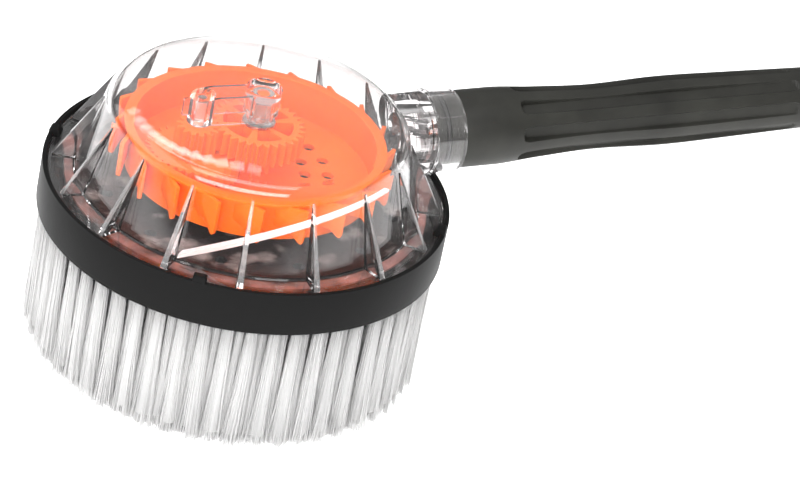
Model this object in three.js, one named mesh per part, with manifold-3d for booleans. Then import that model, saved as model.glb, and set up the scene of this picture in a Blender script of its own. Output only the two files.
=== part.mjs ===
// A water-driven rotary wash brush: clear domed housing, orange turbine and gear train,
// snap-on skirt with a fixed row of tufts, a turning brush disc, and a fluted handle.
// Millimetres, +Z up. The origin is on the brush axis in the plane of the bristle tips,
// and the handle leaves the housing along +X.

import * as THREE from 'three';
import { mergeVertices } from 'three/addons/utils/BufferGeometryUtils.js';
import loadManifold from 'manifold-3d';

const manifold = await loadManifold();
manifold.setup();

// ---------------------------------------------------------------- driving dimensions

const GAP = 0.3;                 // between faces that touch on the real part
const PRESS_GAP = 0.05;          // radial gap where a round part is pressed into a bore
const RUNNING_GAP = 0.05;        // radial gap of a shaft that turns in a bore

const SKIRT_RADIUS = 80;
const SKIRT_BOTTOM = 54;
const SKIRT_TOP = 72;

const FLANGE_RADIUS = 77.8;      // clear flange that the skirt's hooks hold down
const FLANGE_BORE = 66;
const FLANGE_BOTTOM = 68;
const FLANGE_TOP = 70.5;
const WALL = 2.2;
const WALL_FOOT_RADIUS = 67.5;   // where the conical wall stands on the flange
const SHOULDER_RADIUS = 51.6;    // centre of the rounded shoulder
const SHOULDER_Z = 98.4;
const SHOULDER_FILLET = 8;
const CAP_TOP = 115.5;

const RIB_COUNT = 16;            // outside gussets, one place of which the neck takes
const RIB_THICKNESS = 2.6;       // at the foot, thinning to the top
const RIB_TOP_THICKNESS = 1;
const RIB_TOP = 99.5;
const RIB_FOOT_RADIUS = 76.4;
const HOOK_COUNT = 4;

const NECK_END = new THREE.Vector3(83.5, 0, 91);
const HANDLE_TILT = THREE.MathUtils.degToRad(2.4);
const NECK_RADIUS = 16.3;
const NECK_LENGTH = 12;          // socket that takes the handle's spigot
const SPIGOT_RADIUS = 13.1;
const COLLAR_RADIUS = 15.4;
const GRIP_LENGTH = 222;
const TUBE_RADIUS = 6;
const TUBE_BORE = 4.4;

const FLUTE_COUNT = 8;
const FLUTE_START = 25;
const FLUTE_END = 150;
const FLUTE_WIDTH = 6;
const FLUTE_FLOOR = 11.6;        // how far the flutes' flat floors are from the handle's axis
const FLUTE_FIRST_ANGLE = THREE.MathUtils.degToRad(-103);

const MODULE = 1.125;
const PRESSURE_ANGLE = THREE.MathUtils.degToRad(25);
const PINION_TEETH = 13;
const WHEEL_TEETH = 31;
const BACKLASH = 0.3;            // along the pitch circle, both gears together
const LAYSHAFT_X = -MODULE * (PINION_TEETH + WHEEL_TEETH) / 2;   // its axis, on the left
const LOWER_MESH = [81, 87.6];   // turbine pinion drives the layshaft wheel here
const UPPER_MESH = [89, 98];     // layshaft pinion drives the output gear here

const TURBINE_RADIUS = 51;
const TURBINE_RIM_TOP = 93.5;
const RIM_THICKNESS = 1.5;
const BOWL_RADIUS = 49;
const BOWL_WALL = 2.2;
const BOWL_FLOOR = 79;
const DRAIN_OUTER_CIRCLE = 30.3;
const DRAIN_INNER_CIRCLE = 21.2;
const DRAIN_RADIUS = 2.4;
const BLADE_COUNT = 20;
const BLADE_TIP_RADIUS = 54.5;
const BLADE_BOTTOM = 78;
const BLADE_THICKNESS = 1.7;
const BLADE_SKEW = THREE.MathUtils.degToRad(55);   // from the radius through the blade's tip
const BLADE_FIRST_ANGLE = THREE.MathUtils.degToRad(1.2);

const SHAFT_RADIUS = 3.5;        // also the corner radius of the shaft's two hexagons
const TOP_JOURNAL_RADIUS = 2.4;
const TOP_BUSH_RADIUS = 4.2;
const PIN_RADIUS = 2;
const BUSH_RADIUS = 5;
const BOSS_BOTTOM = 99.7;        // of the two bosses that hang from the cap
const BUSH_BORE_TOP = BOSS_BOTTOM + 9.1;
const PIN_BORE_TOP = BOSS_BOTTOM + 10.1;

const PLATE_TOP = 69.9;          // black plate that closes the wet chamber
const PLATE_HUB_TOP = 71.5;
const PLATE_HUB_BOTTOM = 64.8;
const DISC_BOTTOM = 55.7;        // brush disc, turning inside the skirt
const DISC_RADIUS = 64.5;
const TUFT_TOP_GAP = 0.3;

const SMALL = 16;                // sides of washers, screws and other small round parts
const JOURNAL = 32;              // sides of shafts, and of the bores they turn in
const MEDIUM = 32;
const FINE = 40;

// ---------------------------------------------------------------- shape helpers

function solid(geometry) {
  geometry.deleteAttribute('normal');
  geometry.deleteAttribute('uv');
  const merged = mergeVertices(geometry, 1e-4);
  const corners = merged.index.array;
  const triangles = [];
  for (let i = 0; i < corners.length; i += 3) {
    const [a, b, c] = [corners[i], corners[i + 1], corners[i + 2]];
    if (a !== b && b !== c && c !== a) triangles.push(a, b, c);
  }
  return new manifold.Manifold(new manifold.Mesh({
    numProp: 3,
    vertProperties: merged.attributes.position.array,
    triVerts: new Uint32Array(triangles),
  }));
}

function geometryOf(shape) {
  const mesh = shape.getMesh();
  const geometry = new THREE.BufferGeometry();
  geometry.setAttribute('position', new THREE.BufferAttribute(mesh.vertProperties, 3));
  geometry.setIndex(new THREE.BufferAttribute(mesh.triVerts, 1));
  return geometry;
}

// A profile of [radius, height] points, anticlockwise with the axis on the left,
// turned about +Z. It starts and ends on the axis, or its first point is added again.
function revolve(profile, sides) {
  const onAxis = profile[0][0] === 0;
  const outline = onAxis ? profile : [...profile, profile[0]];
  const points = outline.map(([radius, height]) => new THREE.Vector2(radius, height));
  return solid(new THREE.LatheGeometry(points, sides).rotateX(Math.PI / 2));
}

function rod(radius, bottom, top, sides = JOURNAL) {
  return revolve([[0, bottom], [radius, bottom], [radius, top], [0, top]], sides);
}

function sleeve(bore, radius, bottom, top, sides = JOURNAL) {
  return revolve([[bore, bottom], [radius, bottom], [radius, top], [bore, top]], sides);
}

function oRing(radius, section, height) {
  const sides = 6;
  const profile = [];
  for (let i = 0; i < sides; i++) {
    const turn = 2 * Math.PI * i / sides;
    profile.push([radius + section * Math.cos(turn), height + section * Math.sin(turn)]);
  }
  return revolve(profile, MEDIUM);
}

function prism(outline, bottom, top) {
  const shape = outline instanceof THREE.Shape ? outline : new THREE.Shape(outline);
  const options = { depth: top - bottom, bevelEnabled: false };
  return solid(new THREE.ExtrudeGeometry(shape, options).translate(0, 0, bottom));
}

// A flat plate standing on edge in a radial plane: its outline is [radius, height] points.
function radialPlate(outline, thickness, angle) {
  const shape = new THREE.Shape(outline.map(([x, y]) => new THREE.Vector2(x, y)));
  const geometry = new THREE.ExtrudeGeometry(shape, { depth: thickness, bevelEnabled: false });
  geometry.translate(0, 0, -thickness / 2).rotateX(Math.PI / 2).rotateZ(angle);
  return solid(geometry);
}

function box(low, high) {
  const size = high.map((value, axis) => value - low[axis]);
  const geometry = new THREE.BoxGeometry(...size);
  return solid(geometry.translate(...high.map((value, axis) => (value + low[axis]) / 2)));
}

function arc(centreX, centreY, radius, from, to, steps) {
  const points = [];
  for (let i = 0; i <= steps; i++) {
    const angle = from + (to - from) * i / steps;
    points.push([centreX + radius * Math.cos(angle), centreY + radius * Math.sin(angle)]);
  }
  return points;
}

function polar(radius, angle) {
  return new THREE.Vector2(radius * Math.cos(angle), radius * Math.sin(angle));
}

function hexagon(cornerRadius) {
  return Array.from({ length: 6 }, (_, i) => polar(cornerRadius, i * Math.PI / 3));
}

const ring = (count, first, make) =>
  Array.from({ length: count }, (_, i) => make(first + 2 * Math.PI * i / count, i));

const union = (first, others) => others.reduce((sum, other) => sum.add(other), first);
const cut = (first, others) => others.reduce((rest, other) => rest.subtract(other), first);

// The handle's own frame has +Z along the handle, and its origin at the neck's end.
const handleFrame = new THREE.Matrix4()
  .makeRotationY(Math.PI / 2 - HANDLE_TILT)
  .setPosition(NECK_END);

function onHandle(shape) {
  return solid(geometryOf(shape).applyMatrix4(handleFrame));
}

// ---------------------------------------------------------------- involute gears

const involute = (angle) => Math.tan(angle) - angle;

// Half the angle that a tooth covers at a given radius.
function toothHalfAngle(teeth, radius) {
  const pitchRadius = MODULE * teeth / 2;
  const baseRadius = pitchRadius * Math.cos(PRESSURE_ANGLE);
  const atPitch = Math.PI / (2 * teeth) - BACKLASH / (4 * pitchRadius);
  const pressure = Math.acos(Math.min(1, baseRadius / radius));
  return atPitch + involute(PRESSURE_ANGLE) - involute(pressure);
}

// The first tooth is centred on firstAngle.
function gearOutline(teeth, firstAngle) {
  const pitchRadius = MODULE * teeth / 2;
  const baseRadius = pitchRadius * Math.cos(PRESSURE_ANGLE);
  const tipRadius = pitchRadius + MODULE;
  const rootRadius = pitchRadius - 1.25 * MODULE;
  const flankStart = Math.max(baseRadius, rootRadius);
  const flankSteps = 2;
  const flank = [[rootRadius, toothHalfAngle(teeth, flankStart)]];
  for (let i = 0; i <= flankSteps; i++) {
    const radius = flankStart + (tipRadius - flankStart) * i / flankSteps;
    if (radius > rootRadius) flank.push([radius, toothHalfAngle(teeth, radius)]);
  }
  const points = ring(teeth, firstAngle, (centre) => [
    ...flank.map(([radius, half]) => polar(radius, centre - half)),
    ...flank.toReversed().map(([radius, half]) => polar(radius, centre + half)),
  ]);
  return points.flat();
}

// Six openings between the spokes of a wheel.
function spokeWindows(inner, outer, bottom, top) {
  const spokes = 6;
  const halfAngle = Math.PI / spokes - 0.14;
  const steps = 4;
  const curve = (radius, from, to) =>
    arc(0, 0, radius, from, to, steps).map(([x, y]) => new THREE.Vector2(x, y));
  return ring(spokes, Math.PI / spokes, (centre) => prism([
    ...curve(outer, centre - halfAngle, centre + halfAngle),
    ...curve(inner, centre + halfAngle, centre - halfAngle),
  ], bottom, top));
}

function outputGear() {
  const [bottom, top] = UPPER_MESH;
  const wheelRimBore = MODULE * WHEEL_TEETH / 2 - 1.25 * MODULE - 2.2;
  const wheel = prism(gearOutline(WHEEL_TEETH, Math.PI), bottom, top);
  const windows = spokeWindows(SHAFT_RADIUS + 3, wheelRimBore, bottom - 1, top + 1);
  const socket = prism(hexagon(SHAFT_RADIUS + 2 * PRESS_GAP), bottom - 1, top + 1);
  return cut(wheel, [socket, ...windows]);
}

// Plain wheel and pinion in one moulding. On this shaft the wheel's first tooth points at the
// brush axis, and so does a gap of the pinion.
function layshaftGear() {
  const [bottom, top] = LOWER_MESH;
  const wheel = prism(gearOutline(WHEEL_TEETH, 0), bottom, top);
  const pinion = prism(gearOutline(PINION_TEETH, Math.PI / PINION_TEETH), bottom, UPPER_MESH[1]);
  const bore = rod(PIN_RADIUS + RUNNING_GAP, bottom - 1, UPPER_MESH[1] + 1);
  return cut(wheel.add(pinion), [bore]);
}

// ---------------------------------------------------------------- clear housing

const filletToCap = CAP_TOP - SHOULDER_Z;
const capRadius = (SHOULDER_RADIUS ** 2 + filletToCap ** 2 - SHOULDER_FILLET ** 2)
  / (2 * (filletToCap - SHOULDER_FILLET));
const capEdgeAngle = Math.asin(SHOULDER_RADIUS / (capRadius - SHOULDER_FILLET));
const footAcross = WALL_FOOT_RADIUS - SHOULDER_RADIUS;
const footDown = FLANGE_TOP - SHOULDER_Z;
const coneAngle = Math.atan2(footDown, footAcross)
  + Math.acos(SHOULDER_FILLET / Math.hypot(footAcross, footDown));

// Radius of the conical wall at a height, on its outside (depth 0) or deeper in.
function wallRadius(height, depth) {
  const reach = SHOULDER_FILLET - depth - Math.sin(coneAngle) * (height - SHOULDER_Z);
  return SHOULDER_RADIUS + reach / Math.cos(coneAngle);
}

// The dome's line from the top of its wall to the axis, on its outside or deeper in.
function domeLine(depth) {
  const shoulder = arc(SHOULDER_RADIUS, SHOULDER_Z, SHOULDER_FILLET - depth,
    coneAngle, Math.PI / 2 - capEdgeAngle, 3);
  const cap = arc(0, CAP_TOP - capRadius, capRadius - depth,
    Math.PI / 2 - capEdgeAngle, Math.PI / 2, 3).slice(1, -1);
  return [...shoulder, ...cap, [0, CAP_TOP - depth]];
}

function domeShell() {
  return revolve([
    ...domeLine(WALL).toReversed(),
    [FLANGE_BORE, FLANGE_BOTTOM],
    [FLANGE_RADIUS, FLANGE_BOTTOM],
    [FLANGE_RADIUS, FLANGE_TOP],
    [WALL_FOOT_RADIUS, FLANGE_TOP],
    ...domeLine(0),
  ], FINE);
}

function domeInside() {
  return revolve([[0, FLANGE_BOTTOM], [FLANGE_BORE, FLANGE_BOTTOM], ...domeLine(WALL)], FINE);
}

// Outside rib on the flange and the wall, thinning from its foot to its top.
function gusset(angle) {
  const bury = 0.7;
  const edge = 0.8;
  const plate = geometryOf(radialPlate([
    [WALL_FOOT_RADIUS - bury, FLANGE_TOP - bury],
    [RIB_FOOT_RADIUS, FLANGE_TOP - bury],
    [RIB_FOOT_RADIUS, FLANGE_TOP + edge],
    [wallRadius(RIB_TOP, 0) + edge, RIB_TOP],
    [wallRadius(RIB_TOP, bury), RIB_TOP],
  ], 1, 0));
  const places = plate.attributes.position;
  for (let i = 0; i < places.count; i++) {
    const share = (places.getZ(i) - FLANGE_TOP) / (RIB_TOP - FLANGE_TOP);
    places.setY(i, places.getY(i) * THREE.MathUtils.lerp(RIB_THICKNESS, RIB_TOP_THICKNESS, share));
  }
  return solid(plate.rotateZ(angle));
}

// Stepped neck: a raised rim, then three steps down to the end that the handle meets.
function neckOutside() {
  const rim = NECK_RADIUS + 1.1;
  const buriedEnd = -36;
  return onHandle(revolve([
    [0, buriedEnd], [NECK_RADIUS, buriedEnd],
    [NECK_RADIUS, -NECK_LENGTH - 0.6], [rim, -NECK_LENGTH - 0.6],
    [rim, -NECK_LENGTH + 0.6], [NECK_RADIUS + 0.5, -NECK_LENGTH + 0.6],
    [NECK_RADIUS + 0.5, -9.3], [NECK_RADIUS + 0.25, -9.3],
    [NECK_RADIUS + 0.25, -4.2], [NECK_RADIUS, -4.2],
    [NECK_RADIUS, 0], [0, 0],
  ], MEDIUM));
}

const NOZZLE_RADIUS = 8;

// The nozzle's bore, which opens into the wet chamber, and the wider socket of the spigot.
function neckInside() {
  const chamberEnd = -42;
  return onHandle(revolve([
    [0, chamberEnd], [NOZZLE_RADIUS + PRESS_GAP, chamberEnd],
    [NOZZLE_RADIUS + PRESS_GAP, -NECK_LENGTH], [SPIGOT_RADIUS + GAP, -NECK_LENGTH],
    [SPIGOT_RADIUS + GAP, 1], [0, 1],
  ], MEDIUM));
}

// A ramp inside the wall that leads the water down and round, from the neck to the flange.
function guideRamp() {
  const from = THREE.MathUtils.degToRad(-52);
  const to = THREE.MathUtils.degToRad(-134);
  const [highest, lowest] = [94.6, 70.3];
  const steps = 12;
  const width = 3.2;
  const thickness = 1.6;
  const height = (angle) => {
    const share = Math.max(0, (angle - from) / (to - from));
    return highest + (lowest - highest) * share ** 2.1;
  };
  const outer = [];
  const inner = [];
  for (let i = 0; i <= steps; i++) {
    const angle = from + (to - from) * i / steps;
    const radius = wallRadius(height(angle), WALL);
    outer.push(polar(radius + 0.9, angle));
    inner.push(polar(radius - width, angle));
  }
  const shape = new THREE.Shape([...outer.toReversed(), ...inner]);
  const geometry = new THREE.ExtrudeGeometry(shape, { depth: thickness, bevelEnabled: false });
  const places = geometry.attributes.position;
  for (let i = 0; i < places.count; i++) {
    const angle = Math.atan2(places.getY(i), places.getX(i));
    places.setZ(i, places.getZ(i) + height(angle));
  }
  return solid(geometry);
}

// Two bosses under the cap, joined by a pair of webs: one on the brush axis for the output
// shaft's top bush, one for the layshaft's pin.
function bossBracket() {
  const outputRadius = 7;
  const noseRadius = TOP_BUSH_RADIUS + 1.2;
  const noseTop = BOSS_BOTTOM + 3.4;
  const layshaftRadius = 4.9;
  const webThickness = 1.2;
  const webY = layshaftRadius - webThickness / 2;
  const layshaftTop = 112;
  const web = (y) => box([LAYSHAFT_X, y - webThickness / 2, BOSS_BOTTOM + 0.9],
    [0, y + webThickness / 2, layshaftTop]);
  const fin = box([LAYSHAFT_X - layshaftRadius - 2.6, -webThickness / 2, layshaftTop - 9],
    [LAYSHAFT_X, webThickness / 2, layshaftTop - 1]);
  const place = [LAYSHAFT_X, 0, 0];
  return union(rod(outputRadius, noseTop, CAP_TOP - 1), [
    rod(noseRadius, BOSS_BOTTOM, noseTop + 1),
    rod(layshaftRadius, BOSS_BOTTOM, layshaftTop).translate(place),
    web(webY), web(-webY), fin,
  ]);
}

function domeHousing() {
  const gussets = ring(RIB_COUNT, 0, gusset).slice(1);
  const neck = neckOutside().subtract(domeInside());
  const outside = union(domeShell(), [...gussets, neck, guideRamp(), bossBracket()]);
  const bushBore = rod(TOP_BUSH_RADIUS + PRESS_GAP, BOSS_BOTTOM - 1, BUSH_BORE_TOP);
  const pinBore = rod(PIN_RADIUS + PRESS_GAP, BOSS_BOTTOM - 1, PIN_BORE_TOP)
    .translate([LAYSHAFT_X, 0, 0]);
  return cut(outside, [neckInside(), bushBore, pinBore]);
}

// ---------------------------------------------------------------- skirt and base plate

function snapHook(angle) {
  const width = 5;
  const outside = SKIRT_RADIUS - 0.15;
  const seat = FLANGE_TOP + GAP;
  return radialPlate([
    [FLANGE_RADIUS + 0.5, SKIRT_TOP - 4],
    [outside, SKIRT_TOP - 4],
    [outside, SKIRT_TOP + 1.6],
    [outside - 0.8, SKIRT_TOP + 2.2],
    [FLANGE_RADIUS - 1.3, SKIRT_TOP + 2.2],
    [FLANGE_RADIUS - 2.6, SKIRT_TOP + 0.6],
    [FLANGE_RADIUS - 2.6, seat],
    [FLANGE_RADIUS + 0.5, seat],
  ], width, angle);
}

// Openings in the skirt's floor on both sides of each hook, left by the hook's moulding core.
function hookWindows(angle) {
  const aside = THREE.MathUtils.degToRad(5.5);
  const half = 2.4;
  const floorHole = (turn) => radialPlate([
    [72.2, SKIRT_BOTTOM - 1], [75.4, SKIRT_BOTTOM - 1],
    [75.4, SKIRT_BOTTOM + 5], [72.2, SKIRT_BOTTOM + 5],
  ], 2 * half, turn);
  return [floorHole(angle - aside), floorHole(angle + aside)];
}

const skirtInner = 69.5;
const plateRimBottom = 64.4;

function skirtRing() {
  const wall = FLANGE_RADIUS + GAP;
  const seat = FLANGE_BOTTOM - GAP;
  const body = revolve([
    [skirtInner, SKIRT_BOTTOM], [SKIRT_RADIUS, SKIRT_BOTTOM],
    [SKIRT_RADIUS, SKIRT_TOP], [wall, SKIRT_TOP],
    [wall, seat], [wall - 2, seat],
    [wall - 2, SKIRT_BOTTOM + 3.5], [skirtInner + 1.8, SKIRT_BOTTOM + 3.5],
    [skirtInner + 1.8, plateRimBottom - GAP], [skirtInner, plateRimBottom - GAP],
  ], FINE);
  const first = (HOOK_COUNT + 2.5) * 2 * Math.PI / RIB_COUNT;
  const hooks = ring(HOOK_COUNT, first, snapHook);
  const windows = ring(HOOK_COUNT, first, hookWindows).flat();
  return cut(union(body, hooks), windows);
}

function basePlate() {
  const [hubBore, hubRadius] = [BUSH_RADIUS + PRESS_GAP, 8.5];
  const plateRadius = FLANGE_BORE - 1.2;
  const underside = PLATE_TOP - 2.5;
  const body = revolve([
    [hubBore, PLATE_HUB_BOTTOM], [hubRadius, PLATE_HUB_BOTTOM],
    [hubRadius, underside], [62.5, underside],
    [62.5, plateRimBottom], [71.2, plateRimBottom],
    [71.2, plateRimBottom + 2], [plateRadius, plateRimBottom + 2],
    [plateRadius, PLATE_TOP], [hubRadius, PLATE_TOP],
    [hubRadius, PLATE_HUB_TOP], [hubBore, PLATE_HUB_TOP],
  ], MEDIUM);
  const outlets = ring(12, 0, (angle) => {
    const { x, y } = polar(57, angle);
    return rod(2.5, underside - 1, PLATE_TOP + 1, 8).translate([x, y, 0]);
  });
  return cut(body, outlets);
}

const baseSeal = () =>
  sleeve(FLANGE_BORE + 0.6, 71.2, plateRimBottom + 2 + GAP, FLANGE_BOTTOM - GAP, MEDIUM);

// ---------------------------------------------------------------- turbine

// Blade that runs from its tip circle slantwise in to the bowl's wall, and hangs lowest
// near its tip.
function turbineBlade(angle) {
  const rootRadius = BOWL_RADIUS - 0.6;
  const inward = BLADE_TIP_RADIUS * Math.cos(BLADE_SKEW);
  const length = inward - Math.sqrt(inward ** 2 - BLADE_TIP_RADIUS ** 2 + rootRadius ** 2);
  const top = TURBINE_RIM_TOP - RIM_THICKNESS / 2;
  const plate = radialPlate([
    [-length, BLADE_BOTTOM + 6],
    [-0.4 * length, BLADE_BOTTOM + 3.5],
    [-0.17 * length, BLADE_BOTTOM + 0.6],
    [-0.1 * length, BLADE_BOTTOM],
    [-0.04 * length, BLADE_BOTTOM + 0.3],
    [0, BLADE_BOTTOM + 1.6],
    [0, top],
    [-length, top],
  ], BLADE_THICKNESS, angle + BLADE_SKEW);
  const { x, y } = polar(BLADE_TIP_RADIUS, angle);
  return plate.translate([x, y, 0]);
}

// Two groups of holes that let the bowl run empty, each of three with two nearer the hub.
function drainHoles() {
  const spacing = THREE.MathUtils.degToRad(20);
  const row = (radius, middle, steps) => steps.map((step) => {
    const { x, y } = polar(radius, middle + step * spacing);
    return rod(DRAIN_RADIUS, BOWL_FLOOR - 4, BOWL_FLOOR + 1, 12).translate([x, y, 0]);
  });
  return [0, Math.PI].flatMap((middle) => [
    ...row(DRAIN_OUTER_CIRCLE, middle, [-1, 0, 1]),
    ...row(DRAIN_INNER_CIRCLE, middle, [-1.2, 0]),
  ]);
}

// Bowl that clears the gears, with a flat rim round its top.
function turbine() {
  const bore = BUSH_RADIUS - 0.4;
  const hubBottom = PLATE_HUB_TOP + 1.6;
  const bowl = revolve([
    [bore, hubBottom], [7.5, hubBottom],
    [7.5, BOWL_FLOOR - 2], [BOWL_RADIUS - 1, BOWL_FLOOR - 2],
    [BOWL_RADIUS, BOWL_FLOOR - 1], [BOWL_RADIUS, TURBINE_RIM_TOP - RIM_THICKNESS],
    [TURBINE_RADIUS, TURBINE_RIM_TOP - RIM_THICKNESS], [TURBINE_RADIUS, TURBINE_RIM_TOP],
    [BOWL_RADIUS - BOWL_WALL, TURBINE_RIM_TOP], [BOWL_RADIUS - BOWL_WALL, BOWL_FLOOR],
    [bore, BOWL_FLOOR],
  ], MEDIUM);
  const blades = ring(BLADE_COUNT, BLADE_FIRST_ANGLE, turbineBlade);
  const pinion = prism(gearOutline(PINION_TEETH, 0), BOWL_FLOOR - 1, LOWER_MESH[1] + 0.6);
  const clearBore = rod(bore, hubBottom - 1, LOWER_MESH[1] + 2);
  return cut(union(bowl, [...blades, pinion]), [clearBore, ...drainHoles()]);
}

const turbineBush = () => sleeve(SHAFT_RADIUS + RUNNING_GAP, BUSH_RADIUS - 0.45,
  PLATE_HUB_TOP + 1.9, LOWER_MESH[1] + 0.3);

const thrustWasher = () =>
  sleeve(SHAFT_RADIUS + 0.15, 6.8, PLATE_HUB_TOP + GAP, PLATE_HUB_TOP + GAP + 1, SMALL);

// ---------------------------------------------------------------- shafts and small parts

const discHubTop = PLATE_HUB_BOTTOM - 0.4;
const screwRecessTop = DISC_BOTTOM + 3.1;

// Moulded shaft: hexagons for the brush disc and the output gear, round journals between
// and above them, and a screw hole in the lower end.
function outputShaft() {
  const lowerHexagon = prism(hexagon(SHAFT_RADIUS), screwRecessTop, discHubTop + 0.2);
  const journal = rod(SHAFT_RADIUS, discHubTop + 0.2, UPPER_MESH[0] - 0.2);
  const upperHexagon = prism(hexagon(SHAFT_RADIUS), UPPER_MESH[0] - 0.2, UPPER_MESH[1]);
  const topJournal = rod(TOP_JOURNAL_RADIUS, UPPER_MESH[1] - 1, BOSS_BOTTOM + 8);
  const screwHole = rod(1.4, screwRecessTop - 1, screwRecessTop + 8, SMALL);
  return cut(union(lowerHexagon, [journal, upperHexagon, topJournal]), [screwHole]);
}

const upperBush = () => sleeve(TOP_JOURNAL_RADIUS + RUNNING_GAP, TOP_BUSH_RADIUS,
  BOSS_BOTTOM + 0.3, BUSH_BORE_TOP - 0.5);

const baseBush = () => sleeve(SHAFT_RADIUS + RUNNING_GAP, BUSH_RADIUS,
  PLATE_HUB_BOTTOM + 0.3, PLATE_HUB_TOP - 0.3);

const gearWasher = () => sleeve(TOP_JOURNAL_RADIUS + 0.2, 6.6, UPPER_MESH[1] + 0.4,
  BOSS_BOTTOM - 0.4, SMALL);

const clipGroove = [BOWL_FLOOR + 0.9, BOWL_FLOOR + 1.5];
const clipGrooveRadius = PIN_RADIUS - 0.5;

function layshaftPin() {
  const [low, high] = clipGroove;
  return revolve([
    [0, BOWL_FLOOR + 0.4], [PIN_RADIUS, BOWL_FLOOR + 0.4],
    [PIN_RADIUS, low], [clipGrooveRadius, low],
    [clipGrooveRadius, high], [PIN_RADIUS, high],
    [PIN_RADIUS, PIN_BORE_TOP - 0.5], [0, PIN_BORE_TOP - 0.5],
  ], JOURNAL);
}

// Open snap ring that keeps the layshaft gear on its pin.
function layshaftClip() {
  const [low, high] = clipGroove;
  const body = sleeve(clipGrooveRadius + 0.06, 3.9, low + 0.05, high - 0.05);
  return body.subtract(box([0, -1, low - 1], [5, 1, high + 1]));
}

function brushDisc() {
  const hubRadius = 9;
  const body = revolve([
    [0, screwRecessTop], [6.3, screwRecessTop],
    [6.3, DISC_BOTTOM], [DISC_RADIUS, DISC_BOTTOM],
    [DISC_RADIUS, DISC_BOTTOM + 4.3], [hubRadius, DISC_BOTTOM + 4.3],
    [hubRadius, discHubTop], [0, discHubTop],
  ], MEDIUM);
  const socket = prism(hexagon(SHAFT_RADIUS + 2 * PRESS_GAP), screwRecessTop - 1, discHubTop + 1);
  const drains = ring(8, Math.PI / 8, (angle) => {
    const { x, y } = polar(33, angle);
    return rod(2.5, DISC_BOTTOM - 1, DISC_BOTTOM + 6, 8).translate([x, y, 0]);
  });
  return cut(body, [socket, ...drains]);
}

const discWasher = () => sleeve(1.7, 5.6, screwRecessTop - 1.1, screwRecessTop - 0.3, SMALL);

function discScrew() {
  const headTop = screwRecessTop - 1.4;
  return revolve([
    [0, headTop - 1.4], [2.8, headTop - 1.4], [2.8, headTop],
    [1.3, headTop], [1.3, screwRecessTop + 7.5], [0, screwRecessTop + 7.5],
  ], SMALL);
}

// ---------------------------------------------------------------- bristles

// Each field of tufts is one closed solid with the outline that its tufts fill.
const innerBristles = () => rod(62.5, 0, DISC_BOTTOM - TUFT_TOP_GAP, MEDIUM);

const outerBristles = () => revolve([
  [70.4, 0], [77.6, 0], [76.8, SKIRT_BOTTOM - TUFT_TOP_GAP],
  [71.6, SKIRT_BOTTOM - TUFT_TOP_GAP],
], FINE);

// ---------------------------------------------------------------- handle, in its own frame

const sealGroove = [-8.2, -5.8];
const sealGrooveRadius = SPIGOT_RADIUS - 1.5;
const gripBore = TUBE_RADIUS + 0.3;

function gripOutline() {
  const line = new THREE.SplineCurve([
    [18, 15.4], [34, 14.2], [60, 13], [92, 13.9], [124, 13.2], [158, 12.3], [200, 12],
  ].map(([along, radius]) => new THREE.Vector2(radius, along)));
  return line.getPoints(10).map((point) => [point.x, point.y]);
}

// Straight round-ended slot along the handle.
function fluteCutter(angle) {
  const end = FLUTE_WIDTH / 2;
  const outline = [
    ...arc(FLUTE_END - end, 0, end, -Math.PI / 2, Math.PI / 2, 4),
    ...arc(FLUTE_START + end, 0, end, Math.PI / 2, 3 * Math.PI / 2, 4),
  ].map(([x, y]) => new THREE.Vector2(x, y));
  const geometry = new THREE.ExtrudeGeometry(new THREE.Shape(outline),
    { depth: 8, bevelEnabled: false });
  geometry.translate(0, 0, FLUTE_FLOOR).rotateY(-Math.PI / 2).rotateZ(angle);
  return solid(geometry);
}

function handleGrip() {
  const [low, high] = sealGroove;
  const cavity = 10;
  const body = revolve([
    [gripBore, -NECK_LENGTH + 0.4], [SPIGOT_RADIUS, -NECK_LENGTH + 0.4],
    [SPIGOT_RADIUS, low], [sealGrooveRadius, low],
    [sealGrooveRadius, high], [SPIGOT_RADIUS, high],
    [SPIGOT_RADIUS, GAP], [COLLAR_RADIUS, GAP],
    ...gripOutline(),
    [12.7, GRIP_LENGTH - 12], [12.7, GRIP_LENGTH],
    [gripBore, GRIP_LENGTH], [gripBore, GRIP_LENGTH - 16],
    [cavity, GRIP_LENGTH - 20], [cavity, 18], [gripBore, 14],
  ], MEDIUM);
  return cut(body, ring(FLUTE_COUNT, FLUTE_FIRST_ANGLE, fluteCutter));
}

const waterTube = () =>
  sleeve(TUBE_BORE, TUBE_RADIUS, -NECK_LENGTH + 1, GRIP_LENGTH - 8);

const neckSeal = () => oRing(SPIGOT_RADIUS - 0.6, 0.7, (sealGroove[0] + sealGroove[1]) / 2);

// Nozzle whose slanted bore turns the jet off the brush axis, onto the blades.
function jetNozzle() {
  const body = rod(NOZZLE_RADIUS, -24.5, -NECK_LENGTH - 0.4);
  const slant = THREE.MathUtils.degToRad(24);
  const jet = rod(2.2, -16, 8, 12).rotate([THREE.MathUtils.radToDeg(slant), 0, 0]);
  return body.subtract(jet.translate([0, 0, -NECK_LENGTH]));
}

const inletGroove = [GRIP_LENGTH + 18, GRIP_LENGTH + 20.4];
const plugRadius = 9;

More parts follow.
